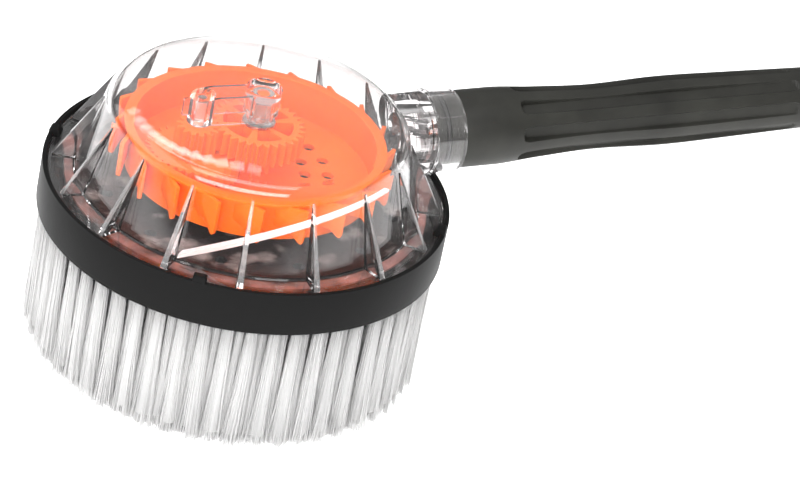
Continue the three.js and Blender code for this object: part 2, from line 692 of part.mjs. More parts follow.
// Male bayonet plug with two lugs, which the gun or lance is twisted onto.
function inletPlug() {
  const [low, high] = inletGroove;
  const bore = TUBE_BORE - 0.4;
  const flangeEnd = GRIP_LENGTH + 4;
  const body = revolve([
    [bore, GRIP_LENGTH - 7.4], [TUBE_RADIUS, GRIP_LENGTH - 7.4],
    [TUBE_RADIUS, GRIP_LENGTH + GAP], [12.4, GRIP_LENGTH + GAP],
    [12.4, flangeEnd], [plugRadius, flangeEnd],
    [plugRadius, low], [plugRadius - 1.5, low],
    [plugRadius - 1.5, high], [plugRadius, high],
    [plugRadius, GRIP_LENGTH + 27], [plugRadius - 1, GRIP_LENGTH + 28],
    [bore, GRIP_LENGTH + 28],
  ], MEDIUM);
  const lug = (side) => box(
    [side > 0 ? plugRadius - 1 : -plugRadius - 2.6, -2.5, flangeEnd + 4],
    [side > 0 ? plugRadius + 2.6 : 1 - plugRadius, 2.5, flangeEnd + 8]);
  return union(body, [lug(1), lug(-1)]);
}

const inletSeal = () => oRing(plugRadius - 0.6, 0.7, (inletGroove[0] + inletGroove[1]) / 2);

// ---------------------------------------------------------------- materials

const finish = (color, roughness, metalness = 0) =>
  new THREE.MeshStandardMaterial({ color, roughness, metalness });

const clearPlastic = new THREE.MeshStandardMaterial({
  color: 0xe8eef0, roughness: 0.05, metalness: 0, transparent: true, opacity: 0.35,
});
const orangePlastic = finish(0xff6a13, 0.35);
const blackPlastic = finish(0x26282a, 0.55);
const gripPlastic = finish(0x3a3d3c, 0.6);
const whiteNylon = finish(0xf4f5f5, 0.6);
const naturalNylon = finish(0xe9e4d8, 0.5);
const steel = finish(0xb9bdc0, 0.3, 1);
const bronze = finish(0xb08a52, 0.4, 1);
const redRubber = finish(0x7a3826, 0.7);
const blackRubber = finish(0x161616, 0.8);

// ---------------------------------------------------------------- assembly

function piece(name, shape, material) {
  const geometry = geometryOf(shape);
  geometry.computeVertexNormals();
  const mesh = new THREE.Mesh(geometry, material.clone());
  mesh.name = name;
  return mesh;
}

function assembly(...members) {
  const group = new THREE.Group();
  group.add(...members);
  return group;
}

const housing = assembly(
  piece('dome_housing', domeHousing(), clearPlastic),
  piece('skirt_ring', skirtRing(), blackPlastic),
  piece('outer_bristles', outerBristles(), whiteNylon),
  piece('base_plate', basePlate(), blackPlastic),
  piece('base_seal', baseSeal(), redRubber),
  piece('base_bush', baseBush(), bronze),
  piece('upper_bush', upperBush(), naturalNylon),
  piece('thrust_washer', thrustWasher(), steel),
);

const turbineAssembly = assembly(
  piece('turbine', turbine(), orangePlastic),
  piece('turbine_bush', turbineBush(), bronze),
);

const layshaft = assembly(
  piece('layshaft_pin', layshaftPin(), naturalNylon),
  piece('layshaft_clip', layshaftClip(), steel),
  piece('layshaft_gear', layshaftGear(), orangePlastic),
);
layshaft.position.x = LAYSHAFT_X;

const brush = assembly(
  piece('output_gear', outputGear(), orangePlastic),
  piece('gear_washer', gearWasher(), steel),
  piece('output_shaft', outputShaft(), orangePlastic),
  piece('brush_disc', brushDisc(), blackPlastic),
  piece('disc_washer', discWasher(), steel),
  piece('disc_screw', discScrew(), steel),
  piece('inner_bristles', innerBristles(), whiteNylon),
);

const handle = assembly(
  piece('handle_grip', handleGrip(), gripPlastic),
  piece('water_tube', waterTube(), blackPlastic),
  piece('neck_seal', neckSeal(), blackRubber),
  piece('jet_nozzle', jetNozzle(), clearPlastic),
  piece('inlet_plug', inletPlug(), blackPlastic),
  piece('inlet_seal', inletSeal(), blackRubber),
);
handle.applyMatrix4(handleFrame);

export default assembly(housing, turbineAssembly, layshaft, brush, handle);
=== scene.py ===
"""Looks of a water-driven rotary wash brush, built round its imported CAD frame.

Lengths are in millimetres. They become Blender's metres where a mesh, bevel, bump, lamp or
camera is made.
The head's axis is +Z through the origin, and the handle has a frame of its own,
whose +Z runs along the handle from the end of the clear neck.
"""

import math
import random

import bmesh
import bpy
from mathutils import Matrix, Vector

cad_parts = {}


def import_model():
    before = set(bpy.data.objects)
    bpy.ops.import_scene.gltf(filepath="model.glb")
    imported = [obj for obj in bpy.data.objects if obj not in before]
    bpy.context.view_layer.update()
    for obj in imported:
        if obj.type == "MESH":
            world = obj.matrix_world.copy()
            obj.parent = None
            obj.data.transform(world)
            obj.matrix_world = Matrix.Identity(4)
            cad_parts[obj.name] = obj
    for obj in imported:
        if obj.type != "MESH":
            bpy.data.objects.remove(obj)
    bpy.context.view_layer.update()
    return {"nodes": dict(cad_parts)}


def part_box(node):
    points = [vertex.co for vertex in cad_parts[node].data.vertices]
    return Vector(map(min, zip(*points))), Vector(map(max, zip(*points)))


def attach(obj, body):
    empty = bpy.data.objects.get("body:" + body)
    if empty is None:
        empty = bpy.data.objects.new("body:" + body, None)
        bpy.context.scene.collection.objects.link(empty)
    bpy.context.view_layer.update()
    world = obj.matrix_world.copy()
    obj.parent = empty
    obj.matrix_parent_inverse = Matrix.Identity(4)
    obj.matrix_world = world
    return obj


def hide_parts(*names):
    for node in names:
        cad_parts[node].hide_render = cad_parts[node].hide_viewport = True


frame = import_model()
nodes = frame["nodes"]

MM = 0.001


def low(node):
    """The lowest corner of a CAD node, in millimetres."""
    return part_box(node)[0] / MM


def high(node):
    """The highest corner of a CAD node, in millimetres."""
    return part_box(node)[1] / MM


# ---------------------------------------------------------------- sizes

SKIRT_RADIUS = high("skirt_ring").y
SKIRT_BOTTOM = low("skirt_ring").z
SKIRT_TOP = SKIRT_BOTTOM + 18
HOOK_TOP = high("skirt_ring").z
HOOK_COUNT = 4
FIRST_HOOK = 6.5        # in gusset spacings from the handle

FLANGE_RADIUS = high("dome_housing").y
FLANGE_BORE = FLANGE_RADIUS - 11.8
FLANGE_BOTTOM = low("dome_housing").z
FLANGE_TOP = FLANGE_BOTTOM + 2.5
CAP_TOP = high("dome_housing").z
WALL = 2.2
WALL_FOOT_RADIUS = 67.5
SHOULDER_RADIUS = 51.6
SHOULDER_Z = 98.4
SHOULDER_FILLET = 8
RIB_COUNT = 16
RIB_THICKNESS = 2.6
RIB_TOP_THICKNESS = 1
RIB_TOP = 99.5
RIB_FOOT_RADIUS = 76.4
BOSS_BOTTOM = 99.7
BUSH_BORE_RADIUS = 4.25
BUSH_BORE_TOP = 108.8
PIN_BORE_RADIUS = 2.05
PIN_BORE_TOP = 109.8

NECK_END = Vector((83.5, 0, 91))
HANDLE_TILT = math.radians(2.4)
NECK_RADIUS = 16.3
NECK_LENGTH = 12
NECK_ROOT = -36         # the tube starts here, inside the dome
NECK_BORE = 13.4
NOZZLE_BORE = 8.05
SPIGOT_RADIUS = 13.1
COLLAR_RADIUS = 15.4
GRIP_LENGTH = 222
GRIP_BORE = 6.3

FLUTE_COUNT = 8
FLUTE_START = 25
FLUTE_END = 150
FLUTE_HALF_WIDTH = 3
FLUTE_HALF_TURN = math.radians(12.6)
FLUTE_FLOOR = 11.6
FLUTE_FIRST_ANGLE = math.radians(-103)

LAYSHAFT_X = (low("layshaft_pin").x + high("layshaft_pin").x) / 2

TURBINE_RIM_TOP = high("turbine").z
TURBINE_RADIUS = 51
RIM_THICKNESS = 1.5
BOWL_RADIUS = 49
BOWL_WALL = 2.2
BOWL_FLOOR = 79
DRAIN_OUTER_CIRCLE = 30.3
DRAIN_INNER_CIRCLE = 21.2
DRAIN_RADIUS = 2.4
BLADE_COUNT = 20
BLADE_TIP_RADIUS = 54.5
BLADE_BOTTOM = 78
BLADE_THICKNESS = 1.7
BLADE_SKEW = math.radians(55)
BLADE_FIRST_ANGLE = math.radians(1.2)
PINION_TOP = 88.2

DISC_BOTTOM = low("brush_disc").z

ROUND = 192
SMALL_ROUND = 64
SOFT_EDGE = 32          # degrees; flatter edges than this are smoothed
STRAND_BOW = 1.6        # above 1, strands bend outwards late

HANDLE_FRAME = Matrix.Translation(NECK_END) @ Matrix.Rotation(math.pi / 2 - HANDLE_TILT, 4, "Y")

# ---------------------------------------------------------------- mesh helpers


def mesh_object(name, points, faces, place=None):
    """A new object from points in millimetres, put in place and smoothed across soft edges."""
    corners = [Vector(p) for p in points]
    if place is not None:
        corners = [place @ p for p in corners]
    mesh = bpy.data.meshes.new(name)
    mesh.from_pydata([p * MM for p in corners], [], faces)
    mesh.validate()
    made = bpy.data.objects.new(name, mesh)
    bpy.context.scene.collection.objects.link(made)
    smooth(made)
    return made


def smooth(made, degrees=SOFT_EDGE):
    made.data.shade_smooth()
    made.data.set_sharp_from_angle(angle=math.radians(degrees))


def even_turn(steps):
    return [2 * math.pi * i / steps for i in range(steps)]


def lathe(name, profile, steps=ROUND, place=None, angles=None, dent=None):
    """Turns a profile of (radius, height) about +Z. It begins and ends on the axis, or closes
    on itself. dent(angle, radius, height) is taken off the radius."""
    angles = angles or even_turn(steps)
    count = len(angles)
    points = []
    rings = []
    for radius, height in profile:
        if radius == 0:
            rings.append([len(points)])
            points.append((0, 0, height))
            continue
        rings.append(list(range(len(points), len(points) + count)))
        for angle in angles:
            reach = radius - (dent(angle, radius, height) if dent else 0)
            points.append((reach * math.cos(angle), reach * math.sin(angle), height))
    pairs = list(zip(rings, rings[1:]))
    if profile[0][0] > 0:
        pairs.append((rings[-1], rings[0]))
    faces = []
    for lower, upper in pairs:
        for i in range(count):
            j = (i + 1) % count
            if len(lower) == 1:
                faces.append((lower[0], upper[j], upper[i]))
            elif len(upper) == 1:
                faces.append((lower[i], lower[j], upper[0]))
            else:
                faces.append((lower[i], lower[j], upper[j], upper[i]))
    return mesh_object(name, points, faces, place)


def prism(name, outline, bottom, top, place=None):
    """An outline of (x, y), anticlockwise, raised from bottom to top."""
    count = len(outline)
    points = [(x, y, bottom) for x, y in outline] + [(x, y, top) for x, y in outline]
    sides = [(i, (i + 1) % count, count + (i + 1) % count, count + i) for i in range(count)]
    faces = sides + [tuple(reversed(range(count))), tuple(range(count, 2 * count))]
    return mesh_object(name, points, faces, place)


def radial_plate(name, outline, thickness, angle, place=None):
    """A plate on edge in a radial plane: its outline is (radius, height) points."""
    stand = Matrix.Rotation(angle, 4, "Z") @ Matrix.Rotation(math.pi / 2, 4, "X")
    stand = stand if place is None else place @ stand
    return prism(name, outline, -thickness / 2, thickness / 2, stand)


def box(name, low_corner, high_corner, place=None):
    (x0, y0, z0), (x1, y1, z1) = low_corner, high_corner
    return prism(name, [(x0, y0), (x1, y0), (x1, y1), (x0, y1)], z0, z1, place)


def arc(centre_x, centre_y, radius, start, end, steps):
    turns = [start + (end - start) * i / steps for i in range(steps + 1)]
    return [(centre_x + radius * math.cos(t), centre_y + radius * math.sin(t)) for t in turns]


def rounded(profile, radius, steps=3):
    """The same closed profile, with each corner cut by a small arc-like curve."""
    result = []
    count = len(profile)
    for i, (x, y) in enumerate(profile):
        corner = Vector((x, y))
        before = Vector(profile[i - 1]) - corner
        after = Vector(profile[(i + 1) % count]) - corner
        reach = min(radius, before.length * 0.45, after.length * 0.45)
        start = corner + before.normalized() * reach
        end = corner + after.normalized() * reach
        for k in range(steps + 1):
            t = k / steps
            point = start * (1 - t) ** 2 + corner * 2 * t * (1 - t) + end * t ** 2
            result.append((point.x, point.y))
    return result


def settle(made):
    """Turns what the modifiers make into the object's own mesh."""
    depsgraph = bpy.context.evaluated_depsgraph_get()
    made.data = bpy.data.meshes.new_from_object(made.evaluated_get(depsgraph))
    made.data.validate()
    made.modifiers.clear()


def bevel(made, width, segments=2):
    modifier = made.modifiers.new("bevel", "BEVEL")
    modifier.width = width * MM
    modifier.segments = segments
    modifier.limit_method = "ANGLE"
    modifier.angle_limit = math.radians(SOFT_EDGE)
    modifier.harden_normals = False
    return made


def bevelled(made, width, segments=2):
    settle(bevel(made, width, segments))
    smooth(made)
    return made


def combine(base, tools, operation):
    """Joins the tools to the base, or cuts them out of it."""
    group = bpy.data.collections.new("tools")
    for tool in tools:
        group.objects.link(tool)
    modifier = base.modifiers.new("combine", "BOOLEAN")
    modifier.operation = operation
    modifier.operand_type = "COLLECTION"
    modifier.collection = group
    modifier.solver = "EXACT"
    modifier.material_mode = "TRANSFER"
    settle(base)
    for tool in tools:
        bpy.data.objects.remove(tool)
    bpy.data.collections.remove(group)
    smooth(base)
    return base


def joined(name, parts):
    """One object that holds the meshes of several."""
    points = []
    faces = []
    for part in parts:
        start = len(points)
        points += [v.co / MM for v in part.data.vertices]
        faces += [tuple(start + i for i in face.vertices) for face in part.data.polygons]
        bpy.data.objects.remove(part)
    return mesh_object(name, points, faces)


def piece(made, body, slot, material, *replaced):
    """Hands a finished object over to the CAD body that it moves with."""
    if not any(made.data.materials):
        made.data.materials.clear()
        made.data.materials.append(material)
    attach(made, body)
    if replaced:
        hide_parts(*replaced)
    return made


# ---------------------------------------------------------------- materials


def new_material(name, color, roughness, metallic=0.0):
    material = bpy.data.materials.new(name)
    material.use_nodes = True
    shader = material.node_tree.nodes["Principled BSDF"]
    shader.inputs["Base Color"].default_value = (*color, 1)
    shader.inputs["Roughness"].default_value = roughness
    shader.inputs["Metallic"].default_value = metallic
    return material, shader


def add_noise(material, scale, detail=3):
    tree = material.node_tree
    place = tree.nodes.new("ShaderNodeTexCoord")
    noise = tree.nodes.new("ShaderNodeTexNoise")
    noise.inputs["Scale"].default_value = scale
    noise.inputs["Detail"].default_value = detail
    tree.links.new(place.outputs["Object"], noise.inputs["Vector"])
    return noise


def vary_roughness(material, shader, scale, least, most):
    tree = material.node_tree
    noise = add_noise(material, scale)
    spread = tree.nodes.new("ShaderNodeMapRange")
    spread.inputs["To Min"].default_value = least
    spread.inputs["To Max"].default_value = most
    tree.links.new(noise.outputs["Fac"], spread.inputs["Value"])
    tree.links.new(spread.outputs["Result"], shader.inputs["Roughness"])


def vary_color(material, shader, scale, dark, light, start=0.3, end=0.7):
    tree = material.node_tree
    noise = add_noise(material, scale)
    ramp = tree.nodes.new("ShaderNodeValToRGB")
    ramp.color_ramp.elements[0].position = start
    ramp.color_ramp.elements[0].color = (*dark, 1)
    ramp.color_ramp.elements[1].position = end
    ramp.color_ramp.elements[1].color = (*light, 1)
    tree.links.new(noise.outputs["Fac"], ramp.inputs["Fac"])
    tree.links.new(ramp.outputs["Color"], shader.inputs["Base Color"])


def add_bump(material, shader, scale, depth):
    tree = material.node_tree
    noise = add_noise(material, scale, detail=2)
    bump = tree.nodes.new("ShaderNodeBump")
    bump.inputs["Strength"].default_value = 0.5
    bump.inputs["Distance"].default_value = depth * MM
    tree.links.new(noise.outputs["Fac"], bump.inputs["Height"])
    tree.links.new(bump.outputs["Normal"], shader.inputs["Normal"])


def clear_plastic(name, transmission, roughness=0.025):
    """Clear moulding that lets lamps through, with the faint waves of a moulded wall. What it
    does not transmit is haze, which scatters the light."""
    material, shader = new_material(name, (0.99, 0.975, 0.975), roughness)
    shader.inputs["Transmission Weight"].default_value = transmission
    shader.inputs["IOR"].default_value = 1.49
    add_bump(material, shader, 60, 0.05)
    tree = material.node_tree
    rays = tree.nodes.new("ShaderNodeLightPath")
    through = tree.nodes.new("ShaderNodeBsdfTransparent")
    through.inputs["Color"].default_value = (0.94, 0.94, 0.94, 1)
    mix = tree.nodes.new("ShaderNodeMixShader")
    tree.links.new(rays.outputs["Is Shadow Ray"], mix.inputs["Fac"])
    tree.links.new(shader.outputs["BSDF"], mix.inputs[1])
    tree.links.new(through.outputs["BSDF"], mix.inputs[2])
    tree.links.new(mix.outputs["Shader"], tree.nodes["Material Output"].inputs["Surface"])
    return material


def orange_plastic():
    material, shader = new_material("orange_plastic", (1.0, 0.15, 0.003), 0.4)
    shader.inputs["Specular IOR Level"].default_value = 0.3
    shader.inputs["Subsurface Weight"].default_value = 0.25
    shader.inputs["Subsurface Radius"].default_value = (1.0, 0.3, 0.05)
    shader.inputs["Subsurface Scale"].default_value = 4 * MM
    vary_roughness(material, shader, 90, 0.34, 0.48)
    return material


def black_plastic():
    material, shader = new_material("black_plastic", (0.009, 0.009, 0.009), 0.42)
    shader.inputs["Specular IOR Level"].default_value = 0.06
    vary_roughness(material, shader, 40, 0.34, 0.5)
    add_bump(material, shader, 500, 0.05)
    return material


def plate_plastic():
    """Dark, uneven moulding, with pale patches of painted sheen in its colour."""
    material, shader = new_material("plate_plastic", (0.02, 0.018, 0.017), 0.4)
    shader.inputs["Specular IOR Level"].default_value = 0.4
    # Painted sheen: the pale end of this noise lightens the dark moulding in patches.
    vary_color(material, shader, 70, (0.006, 0.005, 0.005), (0.4, 0.35, 0.33), 0.55, 0.75)
    add_bump(material, shader, 220, 1.2)
    return material


def grip_plastic():
    material, shader = new_material("grip_plastic", (0.026, 0.026, 0.022), 0.5)
    shader.inputs["Specular IOR Level"].default_value = 0.3
    vary_color(material, shader, 45, (0.016, 0.016, 0.0135), (0.032, 0.032, 0.027))
    vary_roughness(material, shader, 60, 0.42, 0.55)
    add_bump(material, shader, 700, 0.06)
    return material


def bristle_nylon():
    material, shader = new_material("bristle_nylon", (0.97, 0.965, 0.96), 0.45)
    vary_color(material, shader, 120, (0.94, 0.935, 0.93), (0.99, 0.985, 0.98))
    tree = material.node_tree
    glow = tree.nodes.new("ShaderNodeBsdfTranslucent")
    glow.inputs["Color"].default_value = (0.98, 0.98, 0.98, 1)
    mix = tree.nodes.new("ShaderNodeMixShader")
    mix.inputs["Fac"].default_value = 0.55
    tree.links.new(shader.outputs["BSDF"], mix.inputs[1])
    tree.links.new(glow.outputs["BSDF"], mix.inputs[2])
    tree.links.new(mix.outputs["Shader"], tree.nodes["Material Output"].inputs["Surface"])
    return material


def natural_nylon():
    material, shader = new_material("natural_nylon", (0.97, 0.94, 0.9), 0.15)
    shader.inputs["Transmission Weight"].default_value = 0.9
    vary_roughness(material, shader, 200, 0.1, 0.2)
    return material


def red_rubber():
    material, shader = new_material("red_rubber", (0.05, 0.012, 0.008), 0.6)
    vary_color(material, shader, 110, (0.012, 0.006, 0.005), (0.3, 0.12, 0.1))
    return material


def black_rubber():
    material, shader = new_material("black_rubber", (0.012, 0.012, 0.012), 0.6)
    vary_roughness(material, shader, 200, 0.5, 0.7)
    return material


def steel():
    material, shader = new_material("steel", (0.62, 0.63, 0.64), 0.28, 1.0)
    vary_roughness(material, shader, 300, 0.2, 0.36)
    return material


def bronze():
    material, shader = new_material("bronze", (0.48, 0.31, 0.14), 0.42, 1.0)
    vary_roughness(material, shader, 400, 0.35, 0.5)
    return material


# ---------------------------------------------------------------- clear housing

fillet_to_cap = CAP_TOP - SHOULDER_Z
CAP_RADIUS = (SHOULDER_RADIUS ** 2 + fillet_to_cap ** 2 - SHOULDER_FILLET ** 2) / (
    2 * (fillet_to_cap - SHOULDER_FILLET))
CAP_EDGE = math.asin(SHOULDER_RADIUS / (CAP_RADIUS - SHOULDER_FILLET))
foot_across = WALL_FOOT_RADIUS - SHOULDER_RADIUS
foot_down = FLANGE_TOP - SHOULDER_Z
CONE_ANGLE = math.atan2(foot_down, foot_across) + math.acos(
    SHOULDER_FILLET / math.hypot(foot_across, foot_down))


def wall_radius(height, depth):
    """Radius of the conical wall at a height, on its outside or deeper in."""
    reach = SHOULDER_FILLET - depth - math.sin(CONE_ANGLE) * (height - SHOULDER_Z)
    return SHOULDER_RADIUS + reach / math.cos(CONE_ANGLE)


def dome_line(depth):
    """The dome from the top of its wall to the axis, on its outside or deeper in."""
    shoulder = arc(SHOULDER_RADIUS, SHOULDER_Z, SHOULDER_FILLET - depth,
                   CONE_ANGLE, math.pi / 2 - CAP_EDGE, 10)
    cap = arc(0, CAP_TOP - CAP_RADIUS, CAP_RADIUS - depth,
              math.pi / 2 - CAP_EDGE, math.pi / 2, 16)[1:-1]
    return shoulder + cap + [(0, CAP_TOP - depth)]


def dome_shell():
    foot = [(FLANGE_BORE, FLANGE_BOTTOM), (FLANGE_RADIUS - 0.3, FLANGE_BOTTOM),
            (FLANGE_RADIUS, FLANGE_BOTTOM + 0.3), (FLANGE_RADIUS, FLANGE_TOP - 0.3),
            (FLANGE_RADIUS - 0.3, FLANGE_TOP), (WALL_FOOT_RADIUS + 0.5, FLANGE_TOP),
            (WALL_FOOT_RADIUS - 0.1, FLANGE_TOP + 0.5)]
    return lathe("dome_shell", list(reversed(dome_line(WALL))) + foot + dome_line(0))


def dome_inside():
    return lathe("inside", [(0, FLANGE_BOTTOM - 1), (FLANGE_BORE, FLANGE_BOTTOM - 1)]
                 + dome_line(WALL))


def gusset(angle):
    """Outside rib on the flange and the wall, thinning from its foot to its top."""
    bury = 0.7
    edge = 0.9
    outline = [(WALL_FOOT_RADIUS - bury, FLANGE_TOP - bury), (RIB_FOOT_RADIUS, FLANGE_TOP - bury),
               (RIB_FOOT_RADIUS, FLANGE_TOP + edge),
               (wall_radius(RIB_TOP, 0) + edge * 0.6, RIB_TOP), (wall_radius(RIB_TOP, bury), RIB_TOP)]
    plate = radial_plate("gusset", outline, 1, 0)
    for vertex in plate.data.vertices:
        share = (vertex.co.z / MM - FLANGE_TOP) / (RIB_TOP - FLANGE_TOP)
        vertex.co.y *= RIB_THICKNESS + (RIB_TOP_THICKNESS - RIB_THICKNESS) * share
    bevelled(plate, 0.25)
    plate.data.materials.append(clear)
    plate.data.materials.append(edge_haze)
    for face in plate.data.polygons:
        face.material_index = 1 if face.normal.x > 0.5 else 0
    plate.data.transform(Matrix.Rotation(angle, 4, "Z"))
    return plate


def neck_tube():
    """Stepped tube: raised rim, then three steps down to the end that the handle meets."""
    rim = NECK_RADIUS + 1.1
    profile = [
        (NECK_RADIUS, NECK_ROOT), (NECK_RADIUS, -NECK_LENGTH - 0.6),
        (rim, -NECK_LENGTH - 0.6), (rim, -NECK_LENGTH + 0.6),
        (NECK_RADIUS + 0.5, -NECK_LENGTH + 0.6), (NECK_RADIUS + 0.5, -9.3),
        (NECK_RADIUS + 0.2, -9.3), (NECK_RADIUS + 0.2, -4.2),
        (NECK_RADIUS, -4.2), (NECK_RADIUS, 0),
    ]
    soft = rounded([(0, NECK_ROOT)] + profile + [(0, 0)], 0.2)
    soft = [(0, NECK_ROOT)] + [p for p in soft if p[0] > 1] + [(0, 0)]
    neck = lathe("neck", soft, 128, HANDLE_FRAME)
    return combine(neck, [dome_inside()], "DIFFERENCE")


def neck_bores():
    start = NECK_ROOT - 6
    profile = [(0, start), (NOZZLE_BORE, start), (NOZZLE_BORE, -NECK_LENGTH),
               (NECK_BORE, -NECK_LENGTH), (NECK_BORE, 1), (0, 1)]
    return lathe("neck_bores", profile, 128, HANDLE_FRAME)


def guide_ramp():
    """Ramp inside the wall that leads the water round and down, widening to the flange."""
    first, last = math.radians(-52), math.radians(-134)
    highest, lowest = 94.6, 70.3
    steps = 60
    points = []
    for i in range(steps + 1):
        share = i / steps
        angle = first + (last - first) * share
        height = highest + (lowest - highest) * share ** 2.1
        width = 2 + 2 * share
        thickness = 0.6 + share
        outer = wall_radius(height, WALL) + 0.9
        inner = wall_radius(height, WALL) - width
        for radius, level in ((outer, height), (inner, height),
                              (inner, height + thickness), (outer, height + thickness)):
            points.append((radius * math.cos(angle), radius * math.sin(angle), level))
    faces = [(0, 3, 2, 1), tuple(4 * steps + k for k in range(4))]
    for i in range(steps):
        for k in range(4):
            j = (k + 1) % 4
            faces.append((4 * i + k, 4 * i + j, 4 * i + 4 + j, 4 * i + 4 + k))
    ramp = outward(mesh_object("ramp", points, faces))
    ramp.data.materials.append(frosted)
    return ramp


def outward(made):
    """Turns the faces so that they look out of the solid."""
    work = bmesh.new()
    work.from_mesh(made.data)
    bmesh.ops.recalc_face_normals(work, faces=work.faces)
    work.to_mesh(made.data)
    work.free()
    return made


def boss(x, radius, bottom, top):
    soft = [(0, bottom), (radius - 0.3, bottom), (radius, bottom + 0.3), (radius, top), (0, top)]
    return lathe("boss", soft, SMALL_ROUND, Matrix.Translation((x, 0, 0)))


def boss_bore(x, radius, top):
    bottom = BOSS_BOTTOM - 1
    return lathe("bore", [(0, bottom), (radius, bottom), (radius, top), (0, top)], SMALL_ROUND,
                 Matrix.Translation((x, 0, 0)))


def boss_bracket():
    """Two bosses under the cap and the webs between them."""
    small = 4.9
    web = 1.2
    top = 112
    nose_top = BOSS_BOTTOM + 3.4
    parts = [boss(0, 7, nose_top, CAP_TOP - 1), boss(0, 5.4, BOSS_BOTTOM, nose_top + 1),
             boss(LAYSHAFT_X, small, BOSS_BOTTOM, top)]
    for side in (-1, 1):
        y = side * (small - web / 2)
        parts.append(box("web", (LAYSHAFT_X, y - web / 2, BOSS_BOTTOM + 0.9), (0, y + web / 2, top)))
    parts.append(box("fin", (LAYSHAFT_X - small - 2.6, -web / 2, top - 9),
                     (LAYSHAFT_X, web / 2, top - 1)))
    return parts


def clear_housing():
    shell = dome_shell()
    shell.data.materials.append(clear)
    spacing = 2 * math.pi / RIB_COUNT
    gussets = [gusset(i * spacing) for i in range(1, RIB_COUNT)]
    combine(shell, gussets + [neck_tube(), guide_ramp()] + boss_bracket(), "UNION")
    bush_bore = boss_bore(0, BUSH_BORE_RADIUS, BUSH_BORE_TOP)
    pin_bore = boss_bore(LAYSHAFT_X, PIN_BORE_RADIUS, PIN_BORE_TOP)
    combine(shell, [neck_bores(), bush_bore, pin_bore], "DIFFERENCE")
    return haze_cap_and_neck(shell)


def haze_cap_and_neck(shell):
    """Gives the clear faces above the gussets, or as far out as the neck, the hazier finish."""
    shell.data.materials.append(hazy)
    haze_slot = len(shell.data.materials) - 1
    for face in shell.data.polygons:
        is_clear = shell.data.materials[face.material_index] in (clear, None)
        if is_clear and (face.center.z > RIB_TOP * MM or face.center.x > FLANGE_BORE * MM):
            face.material_index = haze_slot
    return shell


# ---------------------------------------------------------------- skirt, seal and base plate


def snap_hook(angle):
    """Hook that leans over the flange's edge and holds it down."""
    outside = SKIRT_RADIUS - 0.15
    seat = FLANGE_TOP + 0.3
    outline = [(FLANGE_RADIUS + 0.5, SKIRT_TOP - 4), (outside, SKIRT_TOP - 4),
               (outside, HOOK_TOP - 0.6), (outside - 0.8, HOOK_TOP), (FLANGE_RADIUS - 1.3, HOOK_TOP),
               (FLANGE_RADIUS - 2.6, HOOK_TOP - 1.6), (FLANGE_RADIUS - 2.6, seat),
               (FLANGE_RADIUS + 0.5, seat)]
    return bevelled(radial_plate("hook", outline, 5, angle), 0.25)


def hook_windows(angle):
    aside = math.radians(5.5)
    outline = [(72.2, SKIRT_BOTTOM - 1), (75.4, SKIRT_BOTTOM - 1), (75.4, SKIRT_BOTTOM + 5),
               (72.2, SKIRT_BOTTOM + 5)]
    return [radial_plate("window", outline, 4.8, angle + turn) for turn in (-aside, aside)]


def skirt():
    wall = FLANGE_RADIUS + 0.3
    seat = FLANGE_BOTTOM - 0.3
    inner = 69.5
    lip = low("base_plate").z - 0.3
    body = lathe("skirt", rounded([
        (inner, SKIRT_BOTTOM), (SKIRT_RADIUS, SKIRT_BOTTOM), (SKIRT_RADIUS, SKIRT_TOP),
        (wall, SKIRT_TOP), (wall, seat), (wall - 2, seat), (wall - 2, SKIRT_BOTTOM + 3.5),
        (inner + 1.8, SKIRT_BOTTOM + 3.5), (inner + 1.8, lip), (inner, lip),
    ], 0.4))
    spacing = 2 * math.pi / RIB_COUNT
    first = FIRST_HOOK * spacing
    turns = [first + i * math.pi / 2 for i in range(HOOK_COUNT)]
    combine(body, [hole for turn in turns for hole in hook_windows(turn)], "DIFFERENCE")
    return combine(body, [snap_hook(turn) for turn in turns], "UNION")


def base_seal():
    bottom, top = low("base_seal").z, high("base_seal").z
    return lathe("flange_seal", rounded([
        (FLANGE_BORE + 0.6, bottom), (high("base_seal").y, bottom),
        (high("base_seal").y, top), (FLANGE_BORE + 0.6, top)], 0.3))


# ---------------------------------------------------------------- turbine


def turbine_blade(angle):
    """Blade from its tip circle slantwise in to the bowl's wall, hanging lowest near its tip."""
    root = BOWL_RADIUS - 0.6
    inward = BLADE_TIP_RADIUS * math.cos(BLADE_SKEW)
    length = inward - math.sqrt(inward ** 2 - BLADE_TIP_RADIUS ** 2 + root ** 2)
    top = TURBINE_RIM_TOP - RIM_THICKNESS / 2
    lower_edge = [(-length, 6), (-0.4 * length, 3.5), (-0.17 * length, 0.6), (-0.1 * length, 0),
                  (-0.04 * length, 0.3), (0, 1.6)]
    outline = [(x, BLADE_BOTTOM + z) for x, z in lower_edge] + [(0, top), (-length, top)]
    place = Matrix.Translation((BLADE_TIP_RADIUS * math.cos(angle),
                                BLADE_TIP_RADIUS * math.sin(angle), 0))
    return bevelled(radial_plate("blade", outline, BLADE_THICKNESS, angle + BLADE_SKEW, place), 0.3)


def drain_holes():
    """Two groups of holes in the bowl's floor, each of three with two nearer the hub."""
    bottom, top = BOWL_FLOOR - 4, BOWL_FLOOR + 1
    profile = [(0, bottom), (DRAIN_RADIUS, bottom), (DRAIN_RADIUS, top), (0, top)]
    holes = []
    for middle in (0, 180):
        for radius, steps in ((DRAIN_OUTER_CIRCLE, (-20, 0, 20)), (DRAIN_INNER_CIRCLE, (-24, 0))):
            for step in steps:
                turn = Matrix.Rotation(math.radians(middle + step), 4, "Z")
                holes.append(lathe("drain", profile, 32, turn @ Matrix.Translation((radius, 0, 0))))
    return holes


